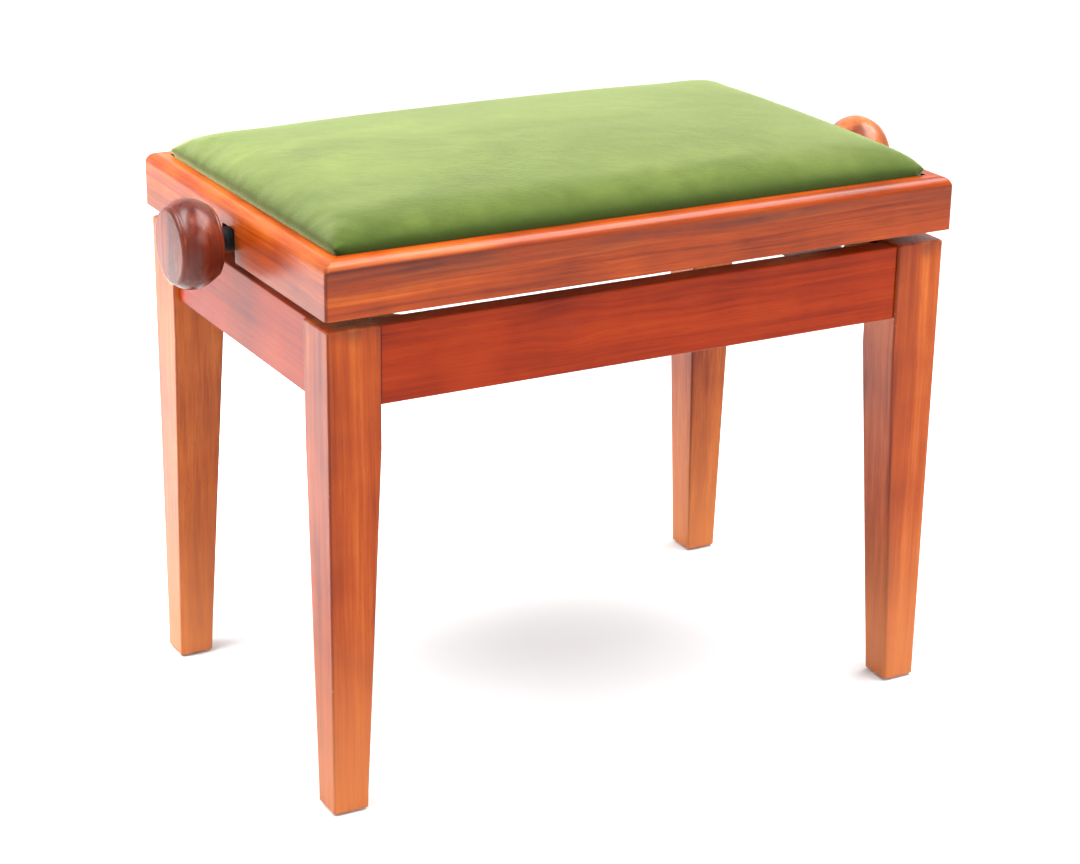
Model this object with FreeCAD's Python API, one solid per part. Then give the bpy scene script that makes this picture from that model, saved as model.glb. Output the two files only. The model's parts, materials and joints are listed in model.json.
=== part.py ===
# Adjustable piano bench: a drop-in seat in a mitred frame, carried by a screw-driven scissor lift
# inside a four-legged base. Millimetres, +Z up, +X to the sitter's right hand when they face +Y,
# origin on the floor under the middle of the bench.
import FreeCAD, Part
import os
from math import cos, pi, radians, sin, sqrt

# Seat frame
seat_length = 550.0
seat_width = 355.0
seat_rail_thickness = 16.0
seat_rail_bottom = 398.0
seat_rail_top = 441.0
seat_top_round = 8.0
seat_corner_round = 2.5
notch_width = 24.0
notch_top = 424.0
notch_round = 2.0

# Cushion on its board
cushion_gap = 0.7
cushion_corner = 10.0
cover_thickness = 1.5
cover_bottom = 426.0
cover_hem = 25.0
board_thickness = 9.0
cleat_half_length = 240.0
cleat_size = 14.0
cleat_screw_x = (-210.0, -70.0, 70.0, 210.0)
cleat_screw_sink = 12.0
cleat_screw_length = 22.0
cleat_head_radius = 4.0
cleat_head_height = 2.0
cleat_shank_radius = 2.0
edge_run = 24.0
edge_rise = 20.0
crown_rise = 11.0
crown_steps = (0.0, 1.5, 5.0, 12.0, 24.0, 55.0, 100.0, 140.0)

# Base
leg_outer_x = 272.0
leg_outer_y = 173.0
leg_size = 43.0
foot_size = 29.0
leg_top = 388.5
taper_start = 294.0
leg_edge_round = 2.0
leg_end_chamfer = 1.2
leg_corner_cut = 12.0
corner_cut_bottom = 324.0
run_out_radius = 12.0
pad_radius = 11.0
pad_height = 1.5
apron_thickness = 18.0
apron_bottom = 327.0
apron_top = 387.5
apron_edge = 1.5
front_recess = 2.5
end_recess = 4.5
tenon_thickness = 10.0
tenon_length = 15.0
tenon_shoulder = 8.0
brace_gap = 5.7
brace_thickness = 18.0
brace_bottom = 333.0
brace_top = 383.0
brace_hole_radius = 4.2
hanger_radius = 4.0
hanger_depth = 30.0
hanger_reach = 40.0
hanger_clearance = 0.05
washer_radius = 9.0
washer_height = 1.6
hanger_nut_height = 6.5
hanger_nut_corners = 15.0
tenon_clearance = 0.1
screw_clearance = 0.05
brace_pocket_radius = 4.5
brace_pocket_height = 14.0
brace_pocket_side = 11.0
brace_pocket_depth = 8.0
brace_screw_rise = 14.0
brace_screw_hole = 22.0
brace_screw_length = 20.0
brace_head_radius = 4.3
brace_head_height = 2.4
brace_shank_radius = 2.2

# Scissor lift
arm_length = 300.0
arm_half_height = 9.0
fixed_pivot_x = -140.0
lower_pivot_z = 370.0
upper_pivot_z = 414.0
lift_angle = 18.0
pivot_radius = 5.0
running_gap = 0.05
slot_gap = 0.5
rail_half_height = 12.0
steel = 3.0
lower_rail_y = (59.0, 62.0)
arm_a_y = (54.2, 58.2)
arm_b_y = (49.4, 53.4)
upper_rail_y = (45.6, 48.6)
upper_flange_y = 25.0
upper_rail_x = (-165.0, 190.0)
tab_width = 22.0
cross_tube_reach = 35.0
cross_tube_radius = 7.0
cross_tube_wall = 2.0
pin_gap = 0.4
pin_head = 3.0
pin_head_radius = 7.0
bolt_head = 3.5
bolt_head_radius = 7.5
slide_rod_overhang = 4.0
clip_height = 1.5
clip_width = 3.0
clip_gap = 0.5
steel_head_radius = 4.2
steel_head_height = 2.2
steel_shank_radius = 2.2
tab_screw_rise = 6.0
tab_screw_length = 17.0
board_screw_x = (-152.0, -40.0, 60.0, 178.0)
board_screw_length = 11.0
nut_bar_radius = 8.0
nut_bar_gap = 1.6
nut_block = 11.0
nut_block_half_width = 14.0
journal_overhang = 2.6
nut_flange = 2.5
nut_flange_width = 2.0

# Spindle and knobs
spindle_radius = 6.0
spindle_half_length = 312.0
collar_radius = 9.5
collar_gap = 0.4
bush_radius = 9.0
bush_flange = 1.5
bush_flange_width = 3.0
thrust_radius = 11.0
thrust_gap = 0.3
thrust_length = 8.2
plate_half_width = 34.0
plate_bottom = 398.5
plate_screw_y = (-25.0, 25.0)
plate_screw_length = 14.0
knob_outer_x = 324.0
knob_inner_x = 288.5
knob_radius = 34.8
knob_face_radius = 29.2
knob_back_radius = 27.8
knob_edge = 2.0
knob_swell = 0.6
knob_turn_x = 0.5
knob_turn_radius = 0.4
insert_radius = 8.5

# Sizes that follow from the ones above
inner_x = seat_length / 2 - seat_rail_thickness
inner_y = seat_width / 2 - seat_rail_thickness
board_bottom = cover_bottom + cover_thickness
board_top = board_bottom + board_thickness
apron_front_y = leg_outer_y - front_recess
apron_end_x = leg_outer_x - end_recess
leg_inner_x = leg_outer_x - leg_size
leg_inner_y = leg_outer_y - leg_size
rest_rise = upper_pivot_z - lower_pivot_z
rest_reach = sqrt(arm_length ** 2 - rest_rise ** 2)
slide_x = fixed_pivot_x + rest_reach
raised_sine = (rest_rise * cos(radians(lift_angle)) + rest_reach * sin(radians(lift_angle))) / arm_length
raised_slide_x = fixed_pivot_x + arm_length * sqrt(1 - raised_sine ** 2)
centre_x = fixed_pivot_x + rest_reach / 2
centre_z = (lower_pivot_z + upper_pivot_z) / 2
corners = (("front_left", -1, -1), ("front_right", 1, -1), ("rear_left", -1, 1), ("rear_right", 1, 1))
long_sides = (("front", -1), ("rear", 1))
ends = (("left", -1), ("right", 1))
origin = FreeCAD.Vector(0, 0, 0)
along_x = FreeCAD.Vector(1, 0, 0)
along_y = FreeCAD.Vector(0, 1, 0)
along_z = FreeCAD.Vector(0, 0, 1)
nodes = {}


def point(x, y, z):
    return FreeCAD.Vector(x, y, z)


def box(x, y, z):
    # Each argument is a pair of limits, in either order.
    low = point(min(x), min(y), min(z))
    return Part.makeBox(max(x) - min(x), max(y) - min(y), max(z) - min(z), low)


def rod(start, end, radius):
    run = end - start
    return Part.makeCylinder(radius, run.Length, start, run)


def tube(start, end, outer, inner):
    return rod(start, end, outer).cut(rod(start, end, inner))


def prism(outline, direction):
    wire = Part.makePolygon(outline + [outline[0]])
    return Part.Face(wire).extrude(direction)


def hexagon(start, end, across_corners):
    # A nut blank between two points.
    run = end - start
    turn = FreeCAD.Rotation(along_z, run)
    outline = []
    for step in range(6):
        angle = step * pi / 3
        spoke = point(across_corners * cos(angle) / 2, across_corners * sin(angle) / 2, 0)
        outline.append(start + turn.multVec(spoke))
    return prism(outline, run)


def mirrored(shape, x_side, y_side):
    # Shapes are drawn at the +X, +Y corner and copied to the side that is asked for.
    copy = shape
    if x_side < 0:
        copy = copy.mirror(origin, along_x)
    if y_side < 0:
        copy = copy.mirror(origin, along_y)
    return copy


def both_sides(shape, axis):
    return [shape, shape.mirror(origin, axis)]


def rounded_rectangle(x, y, z, radius):
    # A closed outline at height z with four equal corner arcs.
    x_low, x_high = min(x), max(x)
    y_low, y_high = min(y), max(y)
    centres = ((x_high - radius, y_high - radius, 0), (x_low + radius, y_high - radius, 90),
               (x_low + radius, y_low + radius, 180), (x_high - radius, y_low + radius, 270))
    arcs = []
    for cx, cy, start in centres:
        spots = []
        for angle in (start, start + 45, start + 90):
            spots.append(point(cx + radius * cos(radians(angle)), cy + radius * sin(radians(angle)), z))
        arcs.append(Part.Arc(spots[0], spots[1], spots[2]).toShape())
    edges = []
    for number, arc in enumerate(arcs):
        following = arcs[(number + 1) % 4]
        edges.append(arc)
        edges.append(Part.makeLine(arc.Vertexes[-1].Point, following.Vertexes[0].Point))
    return Part.Wire(edges)


def pan_screw(head_point, tip_direction, head_radius, head_height, shank_radius, shank_length):
    # The head stands on the surface at head_point, the shank goes in along tip_direction.
    step = FreeCAD.Vector(tip_direction)
    step.normalize()
    head = rod(head_point - step * head_height, head_point, head_radius)
    return head.fuse(rod(head_point, head_point + step * shank_length, shank_radius)).removeSplitter()


def bolt_holes(shape, spots, axis_start, axis_end, radius):
    # Drills the same hole at several (x, z) spots along Y.
    for x, z in spots:
        shape = shape.cut(rod(point(x, axis_start, z), point(x, axis_end, z), radius))
    return shape


def keep(name, solids):
    nodes[name] = solids if isinstance(solids, list) else [solids]


def leg():
    # Straight at the top, tapered on the two inner faces, with the inner corner cut for the brace.
    sections = ((leg_top, leg_size, leg_end_chamfer), (leg_top - leg_end_chamfer, leg_size, 0),
                (taper_start, leg_size, 0), (pad_height + leg_end_chamfer, foot_size, 0),
                (pad_height, foot_size, leg_end_chamfer))
    wires = []
    for z, size, inset in sections:
        x = (leg_outer_x - size + inset, leg_outer_x - inset)
        y = (leg_outer_y - size + inset, leg_outer_y - inset)
        wires.append(rounded_rectangle(x, y, z, leg_edge_round))
    shape = Part.makeLoft(wires, True, True)
    shape = shape.cut(leg_corner_cutter())
    shape = shape.cut(apron_tenon_front(tenon_clearance))
    shape = shape.cut(apron_tenon_end(tenon_clearance))
    start, step = brace_axis()
    bore = rod(start - step * (hanger_depth + 1), start + step, hanger_radius + hanger_clearance)
    return shape.cut(bore)


def leg_corner_cutter():
    # A 45 degree cut across the inner corner that runs out through a round at its lower end.
    reach = leg_corner_cut
    outline = [point(leg_inner_x - reach, leg_inner_y - reach, corner_cut_bottom),
               point(leg_inner_x + 2 * reach, leg_inner_y - reach, corner_cut_bottom),
               point(leg_inner_x - reach, leg_inner_y + 2 * reach, corner_cut_bottom)]
    cut = prism(outline, point(0, 0, leg_top))
    start, step = brace_axis()
    centre = start + step * run_out_radius
    centre.z = corner_cut_bottom
    across = point(1, -1, 0) * 20
    return cut.fuse(rod(centre - across, centre + across, run_out_radius))


def apron_tenon_front(extra):
    middle = apron_front_y - apron_thickness / 2
    half = tenon_thickness / 2 + extra
    return box((leg_inner_x - 1, leg_inner_x + tenon_length + 2 * extra), (middle - half, middle + half),
               (apron_bottom + tenon_shoulder - extra, apron_top - tenon_shoulder + extra))


def apron_tenon_end(extra):
    middle = apron_end_x - apron_thickness / 2
    half = tenon_thickness / 2 + extra
    return box((middle - half, middle + half), (leg_inner_y - 1, leg_inner_y + tenon_length + 2 * extra),
               (apron_bottom + tenon_shoulder - extra, apron_top - tenon_shoulder + extra))


def apron_front():
    shape = box((-leg_inner_x, leg_inner_x), (apron_front_y - apron_thickness, apron_front_y),
                (apron_bottom, apron_top))
    shape = ease_outer_edges(shape, along_y, apron_front_y)
    for tenon in both_sides(apron_tenon_front(0), along_x):
        shape = shape.fuse(tenon)
    for hole in both_sides(brace_screw_front(), along_x):
        shape = shape.cut(hole)
    return shape


def apron_end():
    shape = box((apron_end_x - apron_thickness, apron_end_x), (-leg_inner_y, leg_inner_y),
                (apron_bottom, apron_top))
    shape = ease_outer_edges(shape, along_x, apron_end_x)
    for tenon in both_sides(apron_tenon_end(0), along_y):
        shape = shape.fuse(tenon)
    for hole in both_sides(brace_screw_end(), along_y):
        shape = shape.cut(hole)
    for screw in lower_rail_screws(screw_clearance):
        for piece in both_sides(screw, along_y):
            shape = shape.cut(piece)
    return shape


def ease_outer_edges(shape, axis, offset):
    # Rounds the four edges of the outward face.
    picked = []
    for edge in shape.Edges:
        ends_on_face = [abs(vertex.Point.dot(axis) - offset) < 0.001 for vertex in edge.Vertexes]
        if all(ends_on_face):
            picked.append(edge)
    return shape.makeFillet(apron_edge, picked)


def brace_axis():
    # The hanger bolt runs from the leg's cut corner towards the middle of the bench.
    start = point(leg_inner_x + leg_corner_cut / 2, leg_inner_y + leg_corner_cut / 2, 0)
    start.z = (brace_bottom + brace_top) / 2
    step = point(-1, -1, 0)
    step.normalize()
    return start, step


def brace():
    start, step = brace_axis()
    inner_apron_x = apron_end_x - apron_thickness
    inner_apron_y = apron_front_y - apron_thickness
    outer_sum = start.x + start.y - brace_gap * sqrt(2)
    inner_sum = outer_sum - brace_thickness * sqrt(2)
    outline = [point(outer_sum - inner_apron_y, inner_apron_y, brace_bottom),
               point(inner_apron_x, outer_sum - inner_apron_x, brace_bottom),
               point(inner_apron_x, inner_sum - inner_apron_x, brace_bottom),
               point(inner_sum - inner_apron_y, inner_apron_y, brace_bottom)]
    shape = prism(outline, point(0, 0, brace_top - brace_bottom))
    reach = brace_gap + brace_thickness + 1
    shape = shape.cut(rod(start, start + step * reach, brace_hole_radius))
    shape = shape.cut(brace_screw_front())
    return shape.cut(brace_screw_end())


def brace_heads():
    # Where the two screws of a brace are driven in, one towards each apron.
    start, _ = brace_axis()
    inner_apron_x = apron_end_x - apron_thickness
    inner_apron_y = apron_front_y - apron_thickness
    slant = start.x + start.y - (brace_gap + brace_thickness) * sqrt(2) + brace_pocket_side
    front = point(slant - inner_apron_y, inner_apron_y - brace_pocket_depth, start.z + brace_screw_rise)
    end = point(inner_apron_x - brace_pocket_depth, slant - inner_apron_x, start.z - brace_screw_rise)
    return front, end


def brace_pocket(head, direction):
    # The hole for a screw, with a pocket for its head that opens on the brace's slanted face.
    return pan_screw(head, direction, brace_pocket_radius + screw_clearance, brace_pocket_height,
                     brace_shank_radius + screw_clearance, brace_screw_hole)


def brace_screw_front():
    return brace_pocket(brace_heads()[0], along_y)


def brace_screw_end():
    return brace_pocket(brace_heads()[1], along_x)


def brace_screws():
    # The heads are short, so each pocket shows above its screw.
    screws = []
    for head, direction in zip(brace_heads(), (along_y, along_x)):
        screws.append(pan_screw(head, direction, brace_head_radius, brace_head_height,
                                brace_shank_radius, brace_screw_length))
    return screws


def hanger_bolt():
    start, step = brace_axis()
    return rod(start - step * hanger_depth, start + step * hanger_reach, hanger_radius)


def hanger_nut():
    # Washer and hexagon nut on the inner face of the brace.
    start, step = brace_axis()
    face = start + step * (brace_gap + brace_thickness)
    seat = face + step * washer_height
    top = seat + step * hanger_nut_height
    bore = hanger_radius + hanger_clearance
    washer = tube(face, seat, washer_radius, bore)
    nut = hexagon(seat, top, hanger_nut_corners).cut(rod(face, top + step, bore))
    return [washer, nut]


def foot_pad():
    centre_of_foot = point(leg_outer_x - foot_size / 2, leg_outer_y - foot_size / 2, 0)
    return rod(centre_of_foot, centre_of_foot + along_z * pad_height, pad_radius)


def build_base():
    for name, x_side, y_side in corners:
        keep("leg_" + name, mirrored(leg(), x_side, y_side))
        keep("corner_brace_" + name, mirrored(brace(), x_side, y_side))
    for name, y_side in long_sides:
        keep("apron_" + name, mirrored(apron_front(), 1, y_side))
    for name, x_side in ends:
        keep("apron_" + name, mirrored(apron_end(), x_side, 1))
    bolts, nuts, screws, pads = [], [], [], []
    for _, x_side, y_side in corners:
        bolts.append(mirrored(hanger_bolt(), x_side, y_side))
        nuts.extend(mirrored(piece, x_side, y_side) for piece in hanger_nut())
        screws.extend(mirrored(piece, x_side, y_side) for piece in brace_screws())
        pads.append(mirrored(foot_pad(), x_side, y_side))
    keep("hanger_bolts", bolts)
    keep("hanger_nuts", nuts)
    keep("brace_screws", screws)
    keep("foot_pads", pads)


def seat_ring():
    half_x = seat_length / 2
    half_y = seat_width / 2
    block = box((-half_x, half_x), (-half_y, half_y), (seat_rail_bottom, seat_rail_top))
    height = seat_rail_top - seat_rail_bottom
    upright = [edge for edge in block.Edges if abs(edge.BoundBox.ZLength - height) < 0.01]
    block = block.makeFillet(seat_corner_round, upright)
    top = [edge for edge in block.Edges if edge.BoundBox.ZMin > seat_rail_top - 0.01]
    block = block.makeFillet(seat_top_round, top)
    opening = box((-inner_x, inner_x), (-inner_y, inner_y), (seat_rail_bottom - 1, seat_rail_top + 1))
    return block.cut(opening)


def mitre_region(x_side, y_side):
    # A trapezium between the two mitre lines of one rail, at the end or the long side named.
    half_x = seat_length / 2
    half_y = seat_width / 2
    deep = 60.0
    if y_side:
        outline = [point(-half_x - 1, y_side * (half_y + 1), 0), point(half_x + 1, y_side * (half_y + 1), 0),
                   point(half_x - deep, y_side * (half_y - deep), 0),
                   point(deep - half_x, y_side * (half_y - deep), 0)]
    else:
        outline = [point(x_side * (half_x + 1), -half_y - 1, 0), point(x_side * (half_x + 1), half_y + 1, 0),
                   point(x_side * (half_x - deep), half_y - deep, 0),
                   point(x_side * (half_x - deep), deep - half_y, 0)]
    return prism(outline, point(0, 0, 2 * seat_rail_top))


def notch():
    # Open at the bottom edge of the end rail, for the spindle's collar.
    half = notch_width / 2
    cutter = box((inner_x - 1, seat_length / 2 + 1), (-half, half), (seat_rail_bottom - 1, notch_top))
    top = [edge for edge in cutter.Edges
           if edge.BoundBox.ZMin > notch_top - 0.01 and edge.BoundBox.YLength < 0.01]
    return cutter.makeFillet(notch_round, top)


def cleat():
    # A strip under the board, screwed to the inside of a long rail.
    shape = box((-cleat_half_length, cleat_half_length), (inner_y - cleat_size, inner_y),
                (cover_bottom - cleat_size, cover_bottom))
    for screw in cleat_screws(screw_clearance):
        shape = shape.cut(screw)
    return shape


def cleat_screws(extra):
    screws = []
    for x in cleat_screw_x:
        head = point(x, inner_y - cleat_screw_sink, cover_bottom - cleat_size / 2)
        screws.append(pan_screw(head, along_y, cleat_head_radius + extra, cleat_head_height + 20 * extra,
                                cleat_shank_radius + extra, cleat_screw_length))
    return screws


def cushion_rise(inset):
    # A quarter ellipse at the edge, then a shallow parabola to the middle.
    at_edge = min(inset / edge_run, 1.0)
    at_middle = min(inset / inner_y, 1.0)
    return edge_rise * sqrt(1 - (1 - at_edge) ** 2) + crown_rise * (1 - (1 - at_middle) ** 2)


def cushion_block(bottom, skin):
    # The crowned outside of the cushion, or of what lies a skin thickness inside it.
    half_x = inner_x - cushion_gap - skin
    half_y = inner_y - cushion_gap - skin
    corner = cushion_corner - skin
    wires = [rounded_rectangle((-half_x, half_x), (-half_y, half_y), bottom, corner)]
    for inset in crown_steps:
        z = seat_rail_top + cushion_rise(inset) - skin
        radius = corner + 0.05 * inset
        x = (-half_x + inset, half_x - inset)
        y = (-half_y + inset, half_y - inset)
        wires.append(rounded_rectangle(x, y, z, radius))
    return Part.makeLoft(wires, True, True)


def seat_board():
    half_x = inner_x - cushion_gap - cover_thickness
    half_y = inner_y - cushion_gap - cover_thickness
    corner = cushion_corner - cover_thickness
    outline = rounded_rectangle((-half_x, half_x), (-half_y, half_y), board_bottom, corner)
    shape = Part.Face(outline).extrude(point(0, 0, board_thickness))
    for screw in upper_rail_screws(screw_clearance):
        for piece in both_sides(screw, along_y):
            shape = shape.cut(piece)
    return shape


def seat_cover():
    # Velvet over the foam and the board's edge, turned under as a hem.
    shape = cushion_block(cover_bottom, 0).cut(cushion_block(board_bottom, cover_thickness))
    half_x = inner_x - cover_hem
    half_y = inner_y - cover_hem
    return shape.cut(box((-half_x, half_x), (-half_y, half_y), (cover_bottom - 1, board_bottom + 1)))


def build_seat():
    ring = seat_ring()
    for name, y_side in long_sides:
        rail = ring.common(mitre_region(0, y_side))
        for screw in cleat_screws(screw_clearance):
            rail = rail.cut(mirrored(screw, 1, y_side))
        keep("seat_rail_" + name, rail)
        keep("board_cleat_" + name, mirrored(cleat(), 1, y_side))
    for name, x_side in ends:
        rail = ring.common(mitre_region(x_side, 0))
        rail = rail.cut(mirrored(notch(), x_side, 1))
        for screw in bearing_screws(screw_clearance):
            rail = rail.cut(mirrored(screw, x_side, 1))
        keep("seat_rail_" + name, rail)
    screws = []
    for screw in cleat_screws(0):
        screws.extend(both_sides(screw, along_y))
    keep("cleat_screws", screws)
    keep("seat_board", seat_board())
    keep("seat_foam", cushion_block(board_top, cover_thickness))
    keep("seat_cover", seat_cover())


def flat_bar(start, end, half_height, y):
    # A bar with round ends in the XZ plane, between two Y limits.
    run = end - start
    run.normalize()
    side = point(-run.z, 0, run.x) * half_height
    tip = run * half_height
    edges = [Part.makeLine(start + side, end + side),
             Part.Arc(end + side, end + tip, end - side).toShape(),
             Part.makeLine(end - side, start - side),
             Part.Arc(start - side, start - tip, start + side).toShape()]
    face = Part.Face(Part.Wire(edges))
    face.translate(point(0, y[0], 0))
    return face.extrude(point(0, y[1] - y[0], 0))


def slot(x, z, radius, y):
    return flat_bar(point(x[0], 0, z), point(x[1], 0, z), radius, (y[0] - 1, y[1] + 1))


def arm_a():
    start = point(fixed_pivot_x, 0, lower_pivot_z)
    end = point(slide_x, 0, upper_pivot_z)
    shape = flat_bar(start, end, arm_half_height, arm_a_y)
    loose = pivot_radius + running_gap
    shape = bolt_holes(shape, [(start.x, start.z), (end.x, end.z)], arm_a_y[0] - 1, arm_a_y[1] + 1, loose)
    return bolt_holes(shape, [(centre_x, centre_z)], arm_a_y[0] - 1, arm_a_y[1] + 1, pivot_radius)


def arm_b():
    start = point(fixed_pivot_x, 0, upper_pivot_z)
    end = point(slide_x, 0, lower_pivot_z)
    shape = flat_bar(start, end, arm_half_height, arm_b_y)
    loose = pivot_radius + running_gap
    spots = [(start.x, start.z), (centre_x, centre_z)]
    shape = bolt_holes(shape, spots, arm_b_y[0] - 1, arm_b_y[1] + 1, loose)
    return bolt_holes(shape, [(end.x, end.z)], arm_b_y[0] - 1, arm_b_y[1] + 1, pivot_radius)


def cross_tube():
    # Joins the two A arms near their lower pivots.
    share = cross_tube_reach / arm_length
    x = fixed_pivot_x + share * rest_reach
    z = lower_pivot_z + share * rest_rise
    return tube(point(x, -arm_a_y[0], z), point(x, arm_a_y[0], z), cross_tube_radius,
                cross_tube_radius - cross_tube_wall)


def pin_along_y(x, z, y, radius):
    return rod(point(x, y[0], z), point(x, y[1], z), radius)


def centre_pin():
    # Riveted flush in arm A, with a washer head inside arm B.
    seat = arm_b_y[0] - pin_gap
    shank = pin_along_y(centre_x, centre_z, (seat, arm_a_y[1]), pivot_radius)
    head = pin_along_y(centre_x, centre_z, (seat - pin_head, seat), pin_head_radius)
    return shank.fuse(head).removeSplitter()


def slide_rod():
    reach = lower_rail_y[1] + slide_rod_overhang
    return pin_along_y(slide_x, lower_pivot_z, (-reach, reach), pivot_radius)


def clip(x, z, y):
    # A retaining ring on a rod along Y.
    return tube(point(x, y, z), point(x, y + clip_height, z), pivot_radius + clip_width, pivot_radius)


def lower_rail():
    # A flat steel rail between the end aprons, with a screwed tab at each end.
    end_x = apron_end_x - apron_thickness
    z = (lower_pivot_z - rail_half_height, lower_pivot_z + rail_half_height)
    shape = box((-end_x, end_x), lower_rail_y, z)
    tab = box((end_x - steel, end_x), (lower_rail_y[0], lower_rail_y[1] + tab_width), z)
    for piece in both_sides(tab, along_x):
        shape = shape.fuse(piece)
    shape = shape.removeSplitter()
    shape = bolt_holes(shape, [(fixed_pivot_x, lower_pivot_z)], lower_rail_y[0] - 1, lower_rail_y[1] + 1,
                       pivot_radius)
    run = (raised_slide_x - 1, slide_x + 1)
    shape = shape.cut(slot(run, lower_pivot_z, pivot_radius + slot_gap, lower_rail_y))
    for screw in lower_rail_screws(screw_clearance):
        for piece in both_sides(screw, along_x):
            shape = shape.cut(piece)
    return shape


def lower_rail_screws(extra):
    end_x = apron_end_x - apron_thickness
    screws = []
    for z in (lower_pivot_z - tab_screw_rise, lower_pivot_z + tab_screw_rise):
        head = point(end_x - steel, lower_rail_y[1] + tab_width / 2 + 2, z)
        screws.append(pan_screw(head, along_x, steel_head_radius, steel_head_height,
                                steel_shank_radius + extra, tab_screw_length))
    return screws


def lower_pivot_bolt():
    x, z = fixed_pivot_x, lower_pivot_z
    outer, inner = lower_rail_y[1], arm_a_y[0] - pin_gap
    shank = pin_along_y(x, z, (inner, outer), pivot_radius)
    head = pin_along_y(x, z, (outer, outer + bolt_head), bolt_head_radius)
    end_head = pin_along_y(x, z, (inner - pin_head, inner), bolt_head_radius)
    return shank.fuse(head).fuse(end_head).removeSplitter()


def upper_rail():
    # An angle screwed up into the seat board: pivot at one end, slot for the nut bar at the other.
    z = (upper_pivot_z - rail_half_height, board_bottom)
    shape = box(upper_rail_x, upper_rail_y, z)
    flange = box(upper_rail_x, (upper_flange_y, upper_rail_y[1]), (board_bottom - steel, board_bottom))
    shape = shape.fuse(flange).removeSplitter()
    shape = bolt_holes(shape, [(fixed_pivot_x, upper_pivot_z)], upper_rail_y[0] - 1, upper_rail_y[1] + 1,
                       pivot_radius)
    run = (raised_slide_x - 1, slide_x + 1)
    shape = shape.cut(slot(run, upper_pivot_z, pivot_radius + slot_gap, upper_rail_y))
    for screw in upper_rail_screws(screw_clearance):
        shape = shape.cut(screw)
    return shape


def upper_rail_screws(extra):
    screws = []
    for x in board_screw_x:
        head = point(x, (upper_flange_y + upper_rail_y[0]) / 2, board_bottom - steel)
        screws.append(pan_screw(head, along_z, steel_head_radius, steel_head_height,
                                steel_shank_radius + extra, board_screw_length))
    return screws


def upper_pivot_bolt():
    x, z = fixed_pivot_x, upper_pivot_z
    inner, outer = upper_rail_y[0], arm_b_y[1] + pin_gap
    head = pin_along_y(x, z, (outer, outer + pin_head), bolt_head_radius)
    shank = pin_along_y(x, z, (inner, outer), pivot_radius)
    end_head = pin_along_y(x, z, (inner - bolt_head, inner), pin_head_radius)
    return head.fuse(shank).fuse(end_head).removeSplitter()


def nut_bar():
    # A bar across the lift with a block in the middle for the threaded nut, and a journal at each end.
    middle = upper_rail_y[0] - nut_bar_gap
    shape = pin_along_y(slide_x, upper_pivot_z, (-middle, middle), nut_bar_radius)
    block = box((slide_x - nut_block, slide_x + nut_block), (-nut_block_half_width, nut_block_half_width),
                (upper_pivot_z - nut_block, upper_pivot_z + nut_block))
    shape = shape.fuse(block)
    reach = arm_a_y[1] + journal_overhang
    shape = shape.fuse(pin_along_y(slide_x, upper_pivot_z, (-reach, reach), pivot_radius))
    bore = rod(point(slide_x - nut_block - 1, 0, upper_pivot_z),
               point(slide_x + nut_block + 1, 0, upper_pivot_z), bush_radius)
    return shape.removeSplitter().cut(bore)


def spindle_nut():
    start = point(slide_x - nut_block, 0, upper_pivot_z)
    flange = point(slide_x + nut_block, 0, upper_pivot_z)
    end = flange + along_x * nut_flange
    shape = rod(start, flange, bush_radius).fuse(rod(flange, end, bush_radius + nut_flange_width))
    return shape.removeSplitter().cut(rod(start, end + along_x, spindle_radius + running_gap))


def build_lift():
    for name, y_side in long_sides:
        keep("lower_rail_" + name, mirrored(lower_rail(), 1, y_side))
        keep("upper_rail_" + name, mirrored(upper_rail(), 1, y_side))
        keep("arm_a_" + name, mirrored(arm_a(), 1, y_side))
        keep("arm_b_" + name, mirrored(arm_b(), 1, y_side))
    keep("arm_a_cross_tube", cross_tube())
    keep("centre_pins", both_sides(centre_pin(), along_y))
    keep("slide_rod", slide_rod())
    keep("slide_rod_clips", both_sides(clip(slide_x, lower_pivot_z, lower_rail_y[1] + clip_gap), along_y))
    keep("lower_pivot_bolts", both_sides(lower_pivot_bolt(), along_y))
    keep("upper_pivot_bolts", both_sides(upper_pivot_bolt(), along_y))
    keep("nut_bar", nut_bar())
    keep("nut_bar_clips", both_sides(clip(slide_x, upper_pivot_z, arm_a_y[1] + clip_gap), along_y))
    keep("spindle_nut", spindle_nut())
    base_screws = []
    for screw in lower_rail_screws(0):
        for piece in both_sides(screw, along_x):
            base_screws.extend(both_sides(piece, along_y))
    keep("lower_rail_screws", base_screws)
    board_screws = []
    for screw in upper_rail_screws(0):
        board_screws.extend(both_sides(screw, along_y))
    keep("upper_rail_screws", board_screws)


def bearing_plate():
    # It covers the notch from behind.
    shape = box((inner_x - steel, inner_x), (-plate_half_width, plate_half_width),
                (plate_bottom, cover_bottom - 1))
    start = point(inner_x - steel - 1, 0, upper_pivot_z)
    shape = shape.cut(rod(start, start + along_x * (steel + 2), bush_radius))
    for screw in bearing_screws(screw_clearance):
        shape = shape.cut(screw)
    return shape


def bearing_screws(extra):
    screws = []
    for y in plate_screw_y:
        head = point(inner_x - steel, y, upper_pivot_z)
        screws.append(pan_screw(head, along_x, steel_head_radius, steel_head_height,
                                steel_shank_radius + extra, plate_screw_length))
    return screws


def spindle_ring(x, outer, inner):
    return tube(point(x[0], 0, upper_pivot_z), point(x[1], 0, upper_pivot_z), outer, inner)


def bearing_bush():
    bore = spindle_radius + running_gap
    face = inner_x - steel
    flange = spindle_ring((face - bush_flange, face), bush_radius + bush_flange_width, bore)
    sleeve = spindle_ring((face, inner_x), bush_radius, bore)
    return flange.fuse(sleeve).removeSplitter()


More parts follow.
